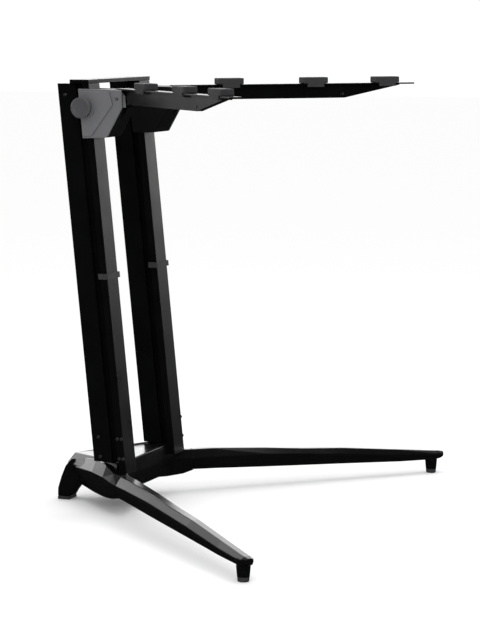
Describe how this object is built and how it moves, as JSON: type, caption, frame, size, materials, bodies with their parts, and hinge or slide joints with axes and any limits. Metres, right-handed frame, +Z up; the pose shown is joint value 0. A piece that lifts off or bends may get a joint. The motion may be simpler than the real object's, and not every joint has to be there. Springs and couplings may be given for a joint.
{
  "type": "keyboard stand",
  "caption": "Column keyboard stand: leaning profile columns on a V base, with height-sliding brackets and folding arms that carry rubber pads",
  "frame": {"origin": "on the floor under the middle of the bounding box", "axes": "+X across the stand, +Y away from the player, +Z up"},
  "size_m": [1.453, 0.8264, 1.1003],
  "materials": {
    "black_aluminium": "satin black anodised",
    "black_casting": "semi-gloss black paint",
    "grey_casting": "satin dark grey paint",
    "knob_plastic": "matte",
    "pad_rubber": "matte",
    "screw_steel": "dark zinc"
  },
  "bodies": {
    "stand": {"base_casting": "black_casting", "rear_foot_pad": "pad_rubber", "top_tie_plate": "black_aluminium", "leg_r": "black_casting", "foot_cap_r": "pad_rubber", "column_r": "black_aluminium", "blade_screw_1_r": "screw_steel", "blade_screw_2_r": "screw_steel", "blade_screw_3_r": "screw_steel", "bar_screw_1_r": "screw_steel", "bar_screw_2_r": "screw_steel", "bar_screw_3_r": "screw_steel", "bar_screw_4_r": "screw_steel", "leg_l": "black_casting", "foot_cap_l": "pad_rubber", "column_l": "black_aluminium", "blade_screw_1_l": "screw_steel", "blade_screw_2_l": "screw_steel", "blade_screw_3_l": "screw_steel", "bar_screw_1_l": "screw_steel", "bar_screw_2_l": "screw_steel", "bar_screw_3_l": "screw_steel", "bar_screw_4_l": "screw_steel"},
    "bracket_r_body": {"bracket_r": "grey_casting", "cheek_plate_r": "grey_casting", "knob_base_r": "grey_casting", "pivot_pin_r": "screw_steel"},
    "knob_r_body": {"knob_r": "knob_plastic", "clamp_stud_r": "screw_steel"},
    "arm_r_body": {"arm_r": "black_aluminium", "arm_nose_r": "black_aluminium", "nose_screw_a_r": "screw_steel", "nose_screw_b_r": "screw_steel", "pad_1_r": "pad_rubber", "pad_2_r": "pad_rubber", "pad_3_r": "pad_rubber"},
    "clip_r_body": {"bar_clip_r": "pad_rubber"},
    "bracket_l_body": {"bracket_l": "grey_casting", "cheek_plate_l": "grey_casting", "knob_base_l": "grey_casting", "pivot_pin_l": "screw_steel"},
    "knob_l_body": {"knob_l": "knob_plastic", "clamp_stud_l": "screw_steel"},
    "arm_l_body": {"arm_l": "black_aluminium", "arm_nose_l": "black_aluminium", "nose_screw_a_l": "screw_steel", "nose_screw_b_l": "screw_steel", "pad_1_l": "pad_rubber", "pad_2_l": "pad_rubber", "pad_3_l": "pad_rubber"},
    "clip_l_body": {"bar_clip_l": "pad_rubber"}
  },
  "joints": [
    {"name": "bracket_slide_r", "type": "slide", "parent": "stand", "child": "bracket_r_body", "axis": [0, 0.0983, 0.9952], "range_m": [-0.32, 0]},
    {"name": "knob_turn_r", "type": "hinge", "parent": "bracket_r_body", "child": "knob_r_body", "pos_m": [0.206, 0.24222, 1.032], "axis": [1, 0, 0], "range_deg": [0, 360]},
    {"name": "arm_fold_r", "type": "hinge", "parent": "bracket_r_body", "child": "arm_r_body", "pos_m": [0.17616, 0.13817, 1.0535], "axis": [0.7218, 0.6921, 0], "range_deg": [0, 85]},
    {"name": "clip_slide_r", "type": "slide", "parent": "stand", "child": "clip_r_body", "axis": [0, 0.0983, 0.9952], "range_m": [-0.3, 0.3]},
    {"name": "bracket_slide_l", "type": "slide", "parent": "stand", "child": "bracket_l_body", "axis": [0, 0.0983, 0.9952], "range_m": [-0.32, 0]},
    {"name": "knob_turn_l", "type": "hinge", "parent": "bracket_l_body", "child": "knob_l_body", "pos_m": [-0.206, 0.24222, 1.032], "axis": [-1, 0, 0], "range_deg": [0, 360]},
    {"name": "arm_fold_l", "type": "hinge", "parent": "bracket_l_body", "child": "arm_l_body", "pos_m": [-0.17616, 0.13817, 1.0535], "axis": [0.7218, -0.6921, 0], "range_deg": [0, 85]},
    {"name": "clip_slide_l", "type": "slide", "parent": "stand", "child": "clip_l_body", "axis": [0, 0.0983, 0.9952], "range_m": [-0.3, 0.3]}
  ]
}
